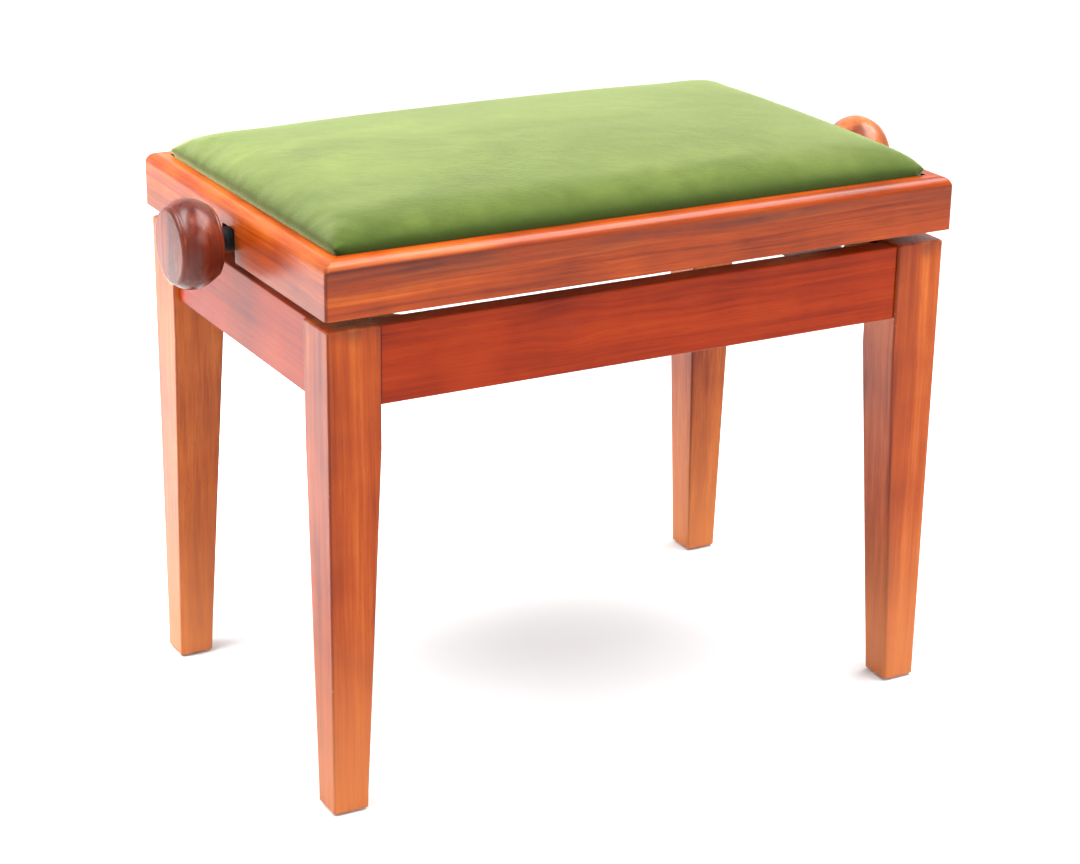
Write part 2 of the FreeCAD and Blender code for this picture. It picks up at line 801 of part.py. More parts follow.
def knob():
    # Turned about the spindle: a flat face, a widely rounded side and a smaller back.
    middle = (knob_inner_x + knob_outer_x) / 2
    spots = [point(knob_outer_x - knob_edge, 0, knob_face_radius + knob_swell),
             point(middle, 0, knob_radius),
             point(knob_inner_x + knob_edge, 0, knob_back_radius + knob_swell)]
    side = Part.Arc(spots[0], spots[1], spots[2]).toShape()
    face_edge = point(knob_outer_x, 0, knob_face_radius - knob_edge)
    back_edge = point(knob_inner_x, 0, knob_back_radius - knob_edge)
    face_turn = point(knob_outer_x - knob_turn_x, 0, knob_face_radius - knob_turn_radius)
    back_turn = point(knob_inner_x + knob_turn_x, 0, knob_back_radius - knob_turn_radius)
    edges = [Part.makeLine(point(knob_outer_x, 0, 0), face_edge),
             Part.Arc(face_edge, face_turn, spots[0]).toShape(), side,
             Part.Arc(spots[2], back_turn, back_edge).toShape(),
             Part.makeLine(back_edge, point(knob_inner_x, 0, 0)),
             Part.makeLine(point(knob_inner_x, 0, 0), point(knob_outer_x, 0, 0))]
    solid = Part.Face(Part.Wire(edges)).revolve(origin, along_x, 360)
    solid.translate(point(0, 0, upper_pivot_z))
    hole_start = point(knob_inner_x - 1, 0, upper_pivot_z)
    return solid.cut(rod(hole_start, point(spindle_half_length, 0, upper_pivot_z), insert_radius))


def build_spindle():
    start = point(-spindle_half_length, 0, upper_pivot_z)
    keep("spindle", rod(start, start + along_x * (2 * spindle_half_length), spindle_radius))
    collar = spindle_ring((inner_x + collar_gap, knob_inner_x), collar_radius, spindle_radius)
    thrust_end = inner_x - steel - bush_flange - thrust_gap
    thrust = spindle_ring((thrust_end - thrust_length, thrust_end), thrust_radius, spindle_radius)
    insert = spindle_ring((knob_inner_x, spindle_half_length), insert_radius, spindle_radius)
    keep("spindle_collars", both_sides(collar, along_x))
    keep("thrust_collars", both_sides(thrust, along_x))
    keep("knob_inserts", both_sides(insert, along_x))
    bushes, screws = [], []
    for name, x_side in ends:
        keep("knob_" + name, mirrored(knob(), x_side, 1))
        keep("bearing_plate_" + name, mirrored(bearing_plate(), x_side, 1))
        bushes.append(mirrored(bearing_bush(), x_side, 1))
        screws.extend(mirrored(screw, x_side, 1) for screw in bearing_screws(0))
    keep("bearing_bushes", bushes)
    keep("bearing_screws", screws)


def export_nodes():
    os.makedirs("parts", exist_ok=True)
    for name, solids in nodes.items():
        shape = solids[0] if len(solids) == 1 else Part.makeCompound(solids)
        shape.exportStep("parts/" + name + ".step")
        print(name, len(shape.Solids), "valid" if shape.isValid() else "INVALID", round(shape.Volume))


build_base()
build_seat()
build_lift()
build_spindle()
export_nodes()
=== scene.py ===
import json
import math

import bpy
import numpy as np
from mathutils import Matrix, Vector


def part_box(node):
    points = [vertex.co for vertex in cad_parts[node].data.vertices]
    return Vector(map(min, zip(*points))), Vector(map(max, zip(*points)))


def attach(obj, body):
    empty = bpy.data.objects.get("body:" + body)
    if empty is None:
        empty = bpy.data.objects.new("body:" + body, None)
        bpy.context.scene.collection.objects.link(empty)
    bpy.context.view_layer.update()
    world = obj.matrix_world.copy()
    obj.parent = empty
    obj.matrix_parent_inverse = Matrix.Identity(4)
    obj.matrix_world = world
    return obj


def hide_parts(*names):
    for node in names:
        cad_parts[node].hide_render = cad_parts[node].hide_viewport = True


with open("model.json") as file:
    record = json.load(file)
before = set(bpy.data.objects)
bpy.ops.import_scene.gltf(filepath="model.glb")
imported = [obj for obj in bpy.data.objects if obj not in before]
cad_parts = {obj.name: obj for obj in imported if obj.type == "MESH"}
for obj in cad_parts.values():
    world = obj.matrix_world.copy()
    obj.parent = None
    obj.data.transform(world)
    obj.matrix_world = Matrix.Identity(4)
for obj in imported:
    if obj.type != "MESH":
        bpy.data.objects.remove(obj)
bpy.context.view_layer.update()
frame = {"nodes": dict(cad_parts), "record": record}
nodes = frame["nodes"]
slotOf = {part["node"]: part["material_slot"] for part in frame["record"]["subparts"]}


# ---- camera

cameraSetup = {
    "lens": 85.33,
    "sensor": 36.0,
    "place": (-0.9797, -1.7534, 0.9615),
    "turn": 29.165,   # degrees from +Y towards +X
    "down": 20.497,
    "roll": 0.872,
}


def makeCamera(setup):
    # the lens looks along -Z of the camera, so the third column is the view direction turned round
    turn = math.radians(setup["turn"])
    down = math.radians(setup["down"])
    roll = math.radians(setup["roll"])
    ahead = np.array([math.sin(turn) * math.cos(down), math.cos(turn) * math.cos(down), -math.sin(down)])
    level = np.array([math.cos(turn), -math.sin(turn), 0.0])
    upright = np.cross(level, ahead)
    right = math.cos(roll) * level + math.sin(roll) * upright
    up = -math.sin(roll) * level + math.cos(roll) * upright
    data = bpy.data.cameras.new("camera")
    data.lens = setup["lens"]
    data.sensor_width = setup["sensor"]
    made = bpy.data.objects.new("camera", data)
    bpy.context.scene.collection.objects.link(made)
    matrix = Matrix.Identity(4)
    for column, axis in enumerate((right, up, -ahead, setup["place"])):
        for line in range(3):
            matrix[line][column] = float(axis[line])
    made.matrix_world = matrix
    bpy.context.scene.camera = made


makeCamera(cameraSetup)
bpy.context.scene.view_settings.view_transform = "Standard"
print("camera: ready")


# ---- shader helper

class Signal:
    # one output socket; arithmetic on it adds Math nodes to the same finish
    def __init__(self, finish, socket):
        self.finish = finish
        self.socket = socket

    def out(self, name):
        return Signal(self.finish, self.socket.node.outputs[name])

    def __add__(self, other):
        return self.finish.math("ADD", self, other)

    def __radd__(self, other):
        return self.finish.math("ADD", other, self)

    def __sub__(self, other):
        return self.finish.math("SUBTRACT", self, other)

    def __rsub__(self, other):
        return self.finish.math("SUBTRACT", other, self)

    def __mul__(self, other):
        return self.finish.math("MULTIPLY", self, other)

    def __rmul__(self, other):
        return self.finish.math("MULTIPLY", other, self)


class Finish:
    # a material in the making: constants go straight onto the shader, patterns come from node()
    def __init__(self, name, constants):
        self.material = bpy.data.materials.new(name)
        self.material.use_nodes = True
        self.tree = self.material.node_tree
        self.shader = self.tree.nodes["Principled BSDF"]
        for socket, value in constants.items():
            self.feed(self.shader.inputs[socket], value)

    def feed(self, socket, value):
        if isinstance(value, Signal):
            self.tree.links.new(value.socket, socket)
        elif isinstance(value, tuple) and len(value) == 3 and len(socket.default_value) == 4:
            socket.default_value = value + (1.0,)
        else:
            socket.default_value = value

    def node(self, kind, settings=None, inputs=None):
        made = self.tree.nodes.new(kind)
        for key, value in (settings or {}).items():
            if key == "stops":
                ramp = made.color_ramp
                for index, (place, colour) in enumerate(value):
                    stop = ramp.elements[index] if index < 2 else ramp.elements.new(place)
                    stop.position = place
                    stop.color = colour + (1.0,)
            else:
                setattr(made, key, value)
        for key, value in (inputs or {}).items():
            if isinstance(key, int):
                socket = made.inputs[key]
            else:
                socket = next(s for s in made.inputs if s.enabled and s.name == key)
            self.feed(socket, value)
        return Signal(self, next(s for s in made.outputs if s.enabled))

    def math(self, operation, *values):
        return self.node("ShaderNodeMath", {"operation": operation}, dict(enumerate(values)))

    def vector(self, operation, *values):
        return self.node("ShaderNodeVectorMath", {"operation": operation}, dict(enumerate(values)))

    def coordinates(self, kind="Object"):
        return self.node("ShaderNodeTexCoord").out(kind)

    def mapped(self, place, **values):
        return self.node("ShaderNodeMapping", None, dict(Vector=place, **values))

    def noise(self, place, scale, detail=2.0, rough=0.5, twist=0.0):
        return self.node("ShaderNodeTexNoise", None, {
            "Vector": place, "Scale": scale, "Detail": detail, "Roughness": rough, "Distortion": twist})

    def rise(self, value, low, high):
        # 0 below low, 1 above high, a soft step between
        return self.node("ShaderNodeMapRange", {"interpolation_type": "SMOOTHSTEP"}, {
            "Value": value, "From Min": low, "From Max": high, "To Min": 0.0, "To Max": 1.0})

    def mix(self, first, second, share):
        return self.node("ShaderNodeMix", {"data_type": "RGBA"}, {"Factor": share, "A": first, "B": second})

    def part(self, value, axis):
        # one of the three numbers of a place or a direction
        return self.node("ShaderNodeSeparateXYZ", None, {"Vector": value}).out(axis)

    def ramp(self, value, stops):
        return self.node("ShaderNodeValToRGB", {"stops": stops}, {"Fac": value})

    def bump(self, height, strength, distance):
        return self.node("ShaderNodeBump", None, {
            "Height": height, "Strength": strength, "Distance": distance})

    def set(self, socket, value):
        self.feed(self.shader.inputs[socket], value)


def paint(obj, finish):
    obj.data.materials.clear()
    obj.data.materials.append(finish.material)


# ---- studio

studio = {
    "darkWorld": (0.52, 0.525, 0.54),
    "brightWorld": (1.05, 1.06, 1.08),
    "brightSide": (-0.45, 0.80, 0.15),
    "brightRise": (-0.35, 0.65),
    "floorColour": (0.69, 0.69, 0.695),
    "floorPale": (0.71, 0.71, 0.715),
    "floorFar": (0.90, 0.90, 0.91),
    "nearGlow": (0.06, 0.061, 0.063),
    "glow": (0.55, 0.55, 0.55),
    "sweep": (1.6, 3.4),
    "floorHalf": 16.0,
    "lamps": [
        # name, place, aims at, width, height, watts, spread in degrees
        ("ceiling softbox", (1.10, -0.45, 2.5), (0.1, 0.0, 0.4), 2.4, 1.6, 122.0, 180),
        ("front softbox", (0.2, -2.4, 1.7), (0.0, 0.0, 0.30), 1.6, 1.2, 22.0, 180),
        ("left softbox", (-1.15, 0.40, 1.6), (-0.75, 0.85, 0.0), 1.1, 1.6, 38.0, 90),
        ("small lamp", (-0.67, -0.56, 2.4), (-0.30, 0.0, 0.41), 0.22, 0.32, 5.0, 180),
    ],
}


def makeLamp(name, place, aim, width, height, watts, spread):
    data = bpy.data.lights.new(name, "AREA")
    data.shape = "RECTANGLE"
    data.size = width
    data.size_y = height
    data.energy = watts
    data.spread = math.radians(spread)
    made = bpy.data.objects.new(name, data)
    bpy.context.scene.collection.objects.link(made)
    # third column of the matrix points from the aim back to the lamp
    back = np.array(place) - np.array(aim)
    back = back / np.linalg.norm(back)
    side = np.cross((0.0, 0.0, 1.0), back)
    side = side / np.linalg.norm(side)
    up = np.cross(back, side)
    matrix = Matrix.Identity(4)
    for column, axis in enumerate((side, up, back, place)):
        for line in range(3):
            matrix[line][column] = float(axis[line])
    made.matrix_world = matrix


def makeStudio(setup):
    # a white backdrop behind and to the left, a dimmer room in front
    world = bpy.data.worlds.new("studio")
    world.use_nodes = True
    tree = world.node_tree
    ray = tree.nodes.new("ShaderNodeTexCoord")
    towards = tree.nodes.new("ShaderNodeVectorMath")
    towards.operation = "DOT_PRODUCT"
    towards.inputs[1].default_value = setup["brightSide"]
    tree.links.new(ray.outputs["Generated"], towards.inputs[0])
    ramp = tree.nodes.new("ShaderNodeMapRange")
    ramp.interpolation_type = "SMOOTHSTEP"
    for name, value in zip(("From Min", "From Max"), setup["brightRise"]):
        ramp.inputs[name].default_value = value
    tree.links.new(towards.outputs["Value"], ramp.inputs["Value"])
    mixed = tree.nodes.new("ShaderNodeMix")
    mixed.data_type = "RGBA"
    sockets = [s for s in mixed.inputs if s.enabled]
    tree.links.new(ramp.outputs["Result"], sockets[0])
    sockets[1].default_value = setup["darkWorld"] + (1.0,)
    sockets[2].default_value = setup["brightWorld"] + (1.0,)
    result = next(s for s in mixed.outputs if s.enabled)
    tree.links.new(result, tree.nodes["Background"].inputs["Color"])
    bpy.context.scene.world = world
    for lamp in setup["lamps"]:
        makeLamp(*lamp)
    # the floor is a flat grid that can be seen only from above, so the underside can be looked at
    half = setup["floorHalf"]
    floor = surface("floor", flatGrid((-half, half), (-half, half), 0.0, 9, 9))
    finish = Finish("pale floor", {"Roughness": 0.85, "Specular IOR Level": 0.1})
    place = finish.coordinates()
    cloud = finish.noise(place, 3.0, 3.0)
    far = finish.rise(finish.vector("LENGTH", place).out("Value"), *setup["sweep"])
    near = finish.mix(setup["floorColour"], setup["floorPale"], cloud)
    finish.set("Base Color", finish.mix(near, setup["floorFar"], far))
    # the sweep behind is lit by itself, so that it stays white to the horizon
    finish.set("Emission Color", finish.mix(setup["nearGlow"], setup["glow"], far))
    finish.shader.inputs["Emission Strength"].default_value = 1.0
    grain = finish.noise(place, 900.0, 2.0)
    finish.set("Normal", finish.bump(grain, 0.08, 0.0004))
    tree = finish.tree
    clear = tree.nodes.new("ShaderNodeBsdfTransparent")
    below = finish.node("ShaderNodeNewGeometry").out("Backfacing")
    shown = tree.nodes.new("ShaderNodeMixShader")
    tree.links.new(below.socket, shown.inputs["Fac"])
    tree.links.new(finish.shader.outputs[0], shown.inputs[1])
    tree.links.new(clear.outputs[0], shown.inputs[2])
    tree.links.new(shown.outputs[0], tree.nodes["Material Output"].inputs["Surface"])
    paint(floor, finish)


# ---- surfaces

def flatGrid(xSpan, ySpan, z, columns, lines):
    # points on a flat rectangle: x and y run evenly over their spans
    x, y = np.meshgrid(np.linspace(*xSpan, columns), np.linspace(*ySpan, lines), indexing="ij")
    return np.stack([x, y, np.full_like(x, z)], axis=-1)


def gridFaces(rows, columns, rowsClose, columnsClose):
    # quads between neighbouring rows and columns of a grid, joined end to end where it closes
    row = np.arange(rows if rowsClose else rows - 1)
    column = np.arange(columns if columnsClose else columns - 1)
    r, c = np.meshgrid(row, column, indexing="ij")
    nextRow = (r + 1) % rows
    nextColumn = (c + 1) % columns
    corners = [r * columns + c, nextRow * columns + c, nextRow * columns + nextColumn,
               r * columns + nextColumn]
    return np.stack(corners, axis=-1).reshape(-1, 4)


def surface(name, points, rowsClose=False, columnsClose=False, poles=False):
    # a mesh from a grid of points; poles closes the first and last row onto their middles
    rows, columns = points.shape[:2]
    vertices = points.reshape(-1, 3)
    faces = gridFaces(rows, columns, rowsClose, columnsClose).tolist()
    if poles:
        c = np.arange(columns)
        after = (c + 1) % columns
        first = np.full(columns, len(vertices))
        last = first + 1
        top = (rows - 1) * columns
        faces += np.stack([first, c, after], axis=-1).tolist()
        faces += np.stack([last, top + after, top + c], axis=-1).tolist()
        vertices = np.concatenate([vertices, points[0].mean(0)[None], points[-1].mean(0)[None]])
    mesh = bpy.data.meshes.new(name)
    mesh.from_pydata(vertices.tolist(), [], faces)
    mesh.polygons.foreach_set("use_smooth", np.full(len(mesh.polygons), True))
    mesh.update()
    made = bpy.data.objects.new(name, mesh)
    bpy.context.scene.collection.objects.link(made)
    return made


def loopShares(halfX, halfY, corner):
    # how much of the way round a round-cornered rectangle each side and each corner takes
    straightX = 2 * (halfX - corner)
    straightY = 2 * (halfY - corner)
    arc = math.pi / 2 * corner
    lengths = np.array([straightX, arc, straightY, arc, straightX, arc, straightY, arc])
    return lengths / lengths.sum()


def roundedLoop(halfX, halfY, corner, along, shares):
    # a rectangle with round corners as a closed path; along runs 0 to 1 once round it, anticlockwise
    # from the front side, and shares says how much of that each side and corner gets
    ends = np.concatenate([[0.0], np.cumsum(shares)])
    s = np.asarray(along)
    part = np.clip(np.searchsorted(ends, s, side="right") - 1, 0, 7)
    local = (s - ends[part]) / shares[part]
    turning = part % 2 == 1
    heading = (part // 2) * math.pi / 2
    angle = heading + np.where(turning, local * math.pi / 2, 0.0)
    outX = np.sin(angle)
    outY = -np.cos(angle)
    # the centre that the outward direction starts from: slides along a side, stands still at a corner
    reachX = halfX - corner
    reachY = halfY - corner
    fromX = np.array([-1, 1, 1, -1])[part // 2] * reachX
    fromY = np.array([-1, -1, 1, 1])[part // 2] * reachY
    toX = np.array([1, 1, -1, -1])[part // 2] * reachX
    toY = np.array([-1, 1, 1, -1])[part // 2] * reachY
    share = np.where(turning, 1.0, local)
    x = fromX + (toX - fromX) * share + corner * outX
    y = fromY + (toY - fromY) * share + corner * outY
    return x, y, outX, outY


makeStudio(studio)
print("studio: floor and lamps ready")


# ---- wood

lacquer = {
    "Roughness": 0.42,
    "Specular IOR Level": 0.0,
    "Coat Weight": 1.0,
    "Coat Roughness": 0.27,
}

legWood = {"dark": (0.15, 0.013, 0.001), "middle": (0.34, 0.052, 0.004), "light": (0.52, 0.120, 0.014),
           "coat": 1.30}
# lighter copies of the leg wood: painted light, for the front right leg's inner face and for the rear legs
litRightLegWood = {"dark": (0.15, 0.014, 0.001), "middle": (0.36, 0.056, 0.004), "light": (0.54, 0.125, 0.016),
                "coat": 1.32}
litRearLegWood = {"dark": (0.20, 0.024, 0.004), "middle": (0.40, 0.085, 0.012), "light": (0.56, 0.150, 0.025),
               "coat": 1.32}
# the aprons' wood is redder, which is its own colour, and darker, which is painted shade from the seat rails
# above
apronWoodAndShade = {"dark": (0.13, 0.008, 0.001), "middle": (0.29, 0.024, 0.001), "light": (0.38, 0.045, 0.002),
             "coat": 1.24}
railWood = {"dark": (0.105, 0.010, 0.002), "middle": (0.35, 0.048, 0.003), "light": (0.60, 0.140, 0.014),
            "coat": 1.34}
knobWood = {"dark": (0.050, 0.006, 0.003), "middle": (0.14, 0.020, 0.007), "light": (0.30, 0.055, 0.014),
            "coat": 1.36}
# a paler copy of the knob wood for the right knob: painted light, where it is lit brighter
paleLitKnobWood = {"dark": (0.20, 0.036, 0.008), "middle": (0.45, 0.115, 0.026), "light": (0.62, 0.205, 0.055),
                "coat": 1.40}

shade = (0.075, 0.014, 0.010)
footWood = (0.62, 0.205, 0.060)
grainTurns = {"x": (0.0, 0.0, 0.0), "y": (0.0, 0.0, math.pi / 2), "z": (0.0, math.pi / 2, 0.0)}

figure = {
    "streakScale": (1.4, 42.0, 42.0),
    "grainScale": (4.5, 190.0, 190.0),
    "fibreScale": (14.0, 620.0, 620.0),
    "poreScale": (95.0, 1700.0, 1700.0),
    "cloudScale": 9.0,
    "ringSpacing": 0.0052,
    "pith": (0.031, 0.017),
    # how much each pattern moves the tone, from dark at 0 to light at 1
    "streaks": 1.5,
    "grain": 0.75,
    "fibres": 0.50,
    "clouds": 1.1,
    "rings": 0.03,
    "pores": 0.30,
    "arrises": 0.55,
    "foot": 0.5,
    "footHeight": 0.19,
}


def woodFinish(name, look, grain, shift, streaks=1.0, stain=(), knots=(), chips=0.0, inside=None, foot=0.0):
    finish = Finish(name, {**lacquer, "Coat IOR": look["coat"]})
    place = finish.coordinates()
    along = finish.mapped(place, Rotation=grainTurns[grain], Location=shift)
    # the fibres wander a little from side to side
    drift = finish.noise(finish.vector("MULTIPLY", along, (3.0, 9.0, 9.0)), 1.0, 2.0).out("Color")
    fibres = finish.vector("MULTIPLY_ADD", drift, (0.0, 0.010, 0.010), along)
    for knot in knots:
        fibres = roundKnot(finish, fibres, place, knot)
    streak = finish.noise(finish.vector("MULTIPLY", fibres, figure["streakScale"]), 1.0, 4.0, 0.55)
    lines = finish.noise(finish.vector("MULTIPLY", fibres, figure["grainScale"]), 1.0, 3.0, 0.6)
    fibre = finish.noise(finish.vector("MULTIPLY", fibres, figure["fibreScale"]), 1.0, 2.0)
    pore = finish.noise(finish.vector("MULTIPLY", fibres, figure["poreScale"]), 1.0, 1.0)
    cloud = finish.noise(place, figure["cloudScale"], 3.0, 0.55)
    # yearly rings: distance from a pith outside the plank, counted in ring spacings
    side = finish.part(fibres, "Y") + figure["pith"][0]
    rise = finish.part(fibres, "Z") + figure["pith"][1]
    radius = finish.math("SQRT", side * side + rise * rise)
    ring = finish.math("SINE", radius * (2 * math.pi / figure["ringSpacing"]) + streak * 5.0)
    tone = (streak - 0.5) * (figure["streaks"] * streaks) + (lines - 0.5) * figure["grain"]
    tone = tone + (fibre - 0.5) * figure["fibres"] + (cloud - 0.5) * figure["clouds"]
    tone = tone + ring * figure["rings"] + 0.5
    colour = finish.ramp(tone, [(0.0, look["dark"]), (1.0, look["light"]), (0.52, look["middle"])])
    pores = finish.rise(pore, 0.60, 0.72)
    colour = finish.mix(colour, look["dark"], pores * figure["pores"])
    # the normal's share along each axis: on a rounded upright arris two of them are large
    facing = finish.vector("ABSOLUTE", finish.coordinates("Normal"))
    upright = 1.0 - finish.rise(finish.part(facing, "Z"), 0.10, 0.55)
    for low, high, axis, strength, tint in stain:
        # dark stain that gathers towards one edge, broken up by the streaks
        gather = finish.rise(finish.part(place, axis) + (streak - 0.5) * (abs(high - low) * 1.6), low, high)
        share = gather * finish.rise(streak + cloud * 0.6, 0.62, 0.98) * strength
        colour = finish.mix(colour, tint, share * upright)
    for knot in knots:
        colour = knotColour(finish, colour, place, knot)
    both = finish.math("MINIMUM", finish.part(facing, "X"), finish.part(facing, "Y"))
    arris = finish.rise(both, 0.12, 0.45)
    colour = finish.mix(colour, shade, arris * figure["arrises"])
    if foot:
        # the colour turns paler towards the foot
        low = 1.0 - finish.rise(finish.part(place, "Z"), 0.0, figure["footHeight"])
        colour = finish.mix(colour, footWood, low * foot)
    if chips:
        spots = finish.rise(finish.noise(place, 300.0, 2.0), 0.62, 0.68)
        patches = finish.rise(finish.noise(place, 17.0, 1.0), 0.60, 0.70)
        colour = finish.mix(colour, (0.62, 0.34, 0.16), arris * spots * patches * chips)
    if inside:
        # the faces turned to the middle of the bench are darkened: painted shade, for the deep shadow inside
        # the frame
        turned = finish.vector("DOT_PRODUCT", finish.coordinates("Normal"), inside).out("Value")
        colour = finish.mix(colour, paintedInsideShade, finish.rise(turned, 0.5, 0.9) * 0.88)
    finish.set("Base Color", colour)
    finish.set("Roughness", fibre * 0.18 + 0.34)
    relief = fibre * 0.6 - pores
    finish.set("Normal", finish.bump(relief, 0.12, 0.0002))
    return finish


def knotDistance(finish, place, knot):
    offset = finish.vector("SUBTRACT", place, knot["centre"])
    reach = finish.vector("LENGTH", finish.vector("DIVIDE", offset, knot["size"]))
    return offset, reach.out("Value")


def roundKnot(finish, fibres, place, knot):
    # the fibres part round a knot: they are pushed away from its middle line
    offset, reach = knotDistance(finish, place, knot)
    near = 1.0 - finish.rise(reach, 0.2, 3.2)
    push = finish.vector("MULTIPLY", offset, (0.0, 0.0, -knot["spread"]))
    pushed = finish.node("ShaderNodeVectorMath", {"operation": "SCALE"}, {"Vector": push, "Scale": near})
    return finish.vector("ADD", fibres, pushed)


def knotColour(finish, colour, place, knot):
    reach = knotDistance(finish, place, knot)[1]
    wobble = finish.noise(place, 160.0, 2.0)
    ring = finish.math("SINE", reach * knot["rings"] + wobble * 5.0) * 0.5 + 0.5
    core = 1.0 - finish.rise(reach, 0.35, 1.15)
    return finish.mix(colour, knot["colour"], core * (ring * 0.6 + 0.4) * knot["strength"])


print("wood: helper ready")


# ---- legs, aprons and seat rails

# painted shade for the faces turned into the bench
paintedInsideShade = (0.020, 0.005, 0.003)
insideOf = {
    "apron_front": (0.0, 1.0, 0.0), "apron_rear": (0.0, -1.0, 0.0),
    "apron_left": (1.0, 0.0, 0.0), "apron_right": (-1.0, 0.0, 0.0),
    "seat_rail_front": (0.0, 1.0, 0.0), "seat_rail_rear": (0.0, -1.0, 0.0),
    "seat_rail_left": (1.0, 0.0, 0.0), "seat_rail_right": (-1.0, 0.0, 0.0),
}
frontKnots = (
    {"centre": (-0.073, -0.1705, 0.365), "size": (0.013, 0.05, 0.008), "spread": 0.55, "rings": 22.0,
     "colour": (0.26, 0.024, 0.008), "strength": 0.75},
    {"centre": (0.035, -0.1705, 0.371), "size": (0.020, 0.05, 0.006), "spread": 0.45, "rings": 12.0,
     "colour": (0.30, 0.030, 0.009), "strength": 0.35},
)
woodPieces = {
    # node: (wood, grain axis, shift along the plank, streak strength, stain bands, knots, chips)
    "leg_front_left": (legWood, "z", (0.3, 0.0, 0.0), 1.0, ((0.376, 0.389, "Z", 0.6, shade),), (), 1.0),
    "leg_front_right": (litRightLegWood, "z", (1.7, 0.2, 0.4), 1.15, ((0.372, 0.389, "Z", 0.6, shade),), (),
                        1.0),
    "leg_rear_left": (litRearLegWood, "z", (3.1, 0.7, 0.1), 1.0, ((0.376, 0.389, "Z", 0.6, shade),), (), 0.6),
    "leg_rear_right": (litRearLegWood, "z", (4.9, 0.4, 0.8), 1.0, ((0.376, 0.389, "Z", 0.6, shade),), (), 0.6),
    "apron_front": (apronWoodAndShade, "x", (0.9, 0.5, 0.2), 0.55, (), frontKnots, 0.0),
    "apron_rear": (apronWoodAndShade, "x", (2.4, 0.9, 0.6), 0.6, (), (), 0.0),
    "apron_left": (apronWoodAndShade, "y", (3.8, 0.1, 0.3), 0.6, (), (), 0.0),
    "apron_right": (apronWoodAndShade, "y", (5.5, 0.6, 0.7), 0.6, (), (), 0.0),
    "seat_rail_front": (railWood, "x", (6.2, 0.3, 0.5), 1.1, ((0.407, 0.432, "Z", 1.0, shade),), (), 0.0),
    "seat_rail_rear": (railWood, "x", (7.3, 0.8, 0.9), 1.1, ((0.412, 0.438, "Z", 0.7, shade),), (), 0.0),
    "seat_rail_left": (railWood, "y", (8.6, 0.2, 0.1), 0.9, ((0.432, 0.410, "Z", 0.5, shade),), (), 0.0),
    "seat_rail_right": (railWood, "y", (9.4, 0.4, 0.2), 0.9, ((0.432, 0.410, "Z", 0.5, shade),), (), 0.0),
}

for node, (look, grain, shift, streaks, stain, knots, chips) in woodPieces.items():
    paint(nodes[node], woodFinish(node + " wood", look, grain, shift, streaks, stain, knots, chips,
                                  insideOf.get(node), figure["foot"] if node.startswith("leg") else 0.0))
print("wood: %d frame pieces painted" % len(woodPieces))


# ---- plain wood: braces, cleats and the plywood board

plainWood = {
    "pale": (0.66, 0.47, 0.27),
    "dark": (0.40, 0.24, 0.115),
    "plyLayers": 0.0018,
}


def sawnFinish(name, grain, shift, ply=False):
    finish = Finish(name, {"Roughness": 0.75, "Specular IOR Level": 0.3})
    place = finish.coordinates()
    along = finish.mapped(place, Rotation=grainTurns[grain], Location=shift)
    streak = finish.noise(finish.vector("MULTIPLY", along, (2.0, 48.0, 48.0)), 1.0, 4.0)
    fibre = finish.noise(finish.vector("MULTIPLY", along, (22.0, 800.0, 800.0)), 1.0, 2.0)
    saw = finish.noise(finish.vector("MULTIPLY", along, (420.0, 30.0, 30.0)), 1.0, 1.0)
    tone = finish.rise(streak * 0.6 + fibre * 0.4, 0.25, 0.75)
    colour = finish.mix(plainWood["dark"], plainWood["pale"], tone)
    if ply:
        # thin plies with their grain crossed: every second one is darker at the edges of the board
        wave = finish.math("SINE", finish.part(place, "Z") * (2 * math.pi / plainWood["plyLayers"]))
        level = finish.math("ABSOLUTE", finish.part(finish.coordinates("Normal"), "Z"))
        edge = 1.0 - finish.rise(level, 0.3, 0.7)
        colour = finish.mix(colour, plainWood["dark"], edge * finish.rise(wave, -0.2, 0.2) * 0.7)
    finish.set("Base Color", colour)
    finish.set("Roughness", fibre * 0.2 + 0.62)
    finish.set("Normal", finish.bump(fibre + saw * 0.5, 0.3, 0.0003))
    return finish


for node, slot in slotOf.items():
    if slot == "plain_wood":
        ply = node == "seat_board"
        paint(nodes[node], sawnFinish(node + " sawn wood", "x", (len(node) * 0.37, 0.0, 0.0), ply))
print("plain wood: painted")


# ---- metal, felt and nylon

hardware = {
    # the clean colour, and the one of dust, stain, tarnish, mottle, scuffs or hairs over it
    "blackPaint": ((0.018, 0.018, 0.020), (0.05, 0.05, 0.05)),
    "zinc": ((0.62, 0.63, 0.62), (0.40, 0.41, 0.43)),
    "brass": ((0.70, 0.50, 0.20), (0.42, 0.27, 0.10)),
    "nylon": ((0.80, 0.78, 0.71), (0.70, 0.67, 0.58)),
    "collar": ((0.007, 0.007, 0.008), (0.03, 0.03, 0.031)),
    "felt": ((0.16, 0.145, 0.135), (0.30, 0.28, 0.26)),
}


def blackPaintFinish():
    finish = Finish("black paint on steel", {"Specular IOR Level": 0.5, "Coat Weight": 0.25,
                                             "Coat Roughness": 0.2})
    place = finish.coordinates()
    peel = finish.noise(place, 420.0, 2.0)
    dust = finish.noise(place, 30.0, 4.0, 0.6)
    finish.set("Base Color", finish.mix(*hardware["blackPaint"], finish.rise(dust, 0.5, 0.8)))
    finish.set("Roughness", dust * 0.25 + 0.28)
    finish.set("Normal", finish.bump(peel, 0.15, 0.0003))
    return finish


def zincFinish():
    finish = Finish("bright zinc", {"Metallic": 1.0})
    place = finish.coordinates()
    grain = finish.noise(place, 700.0, 2.0)
    stain = finish.noise(place, 60.0, 3.0, 0.6)
    finish.set("Base Color", finish.mix(*hardware["zinc"], finish.rise(stain, 0.45, 0.75)))
    finish.set("Roughness", stain * 0.3 + 0.16)
    finish.set("Normal", finish.bump(grain, 0.1, 0.0002))
    return finish


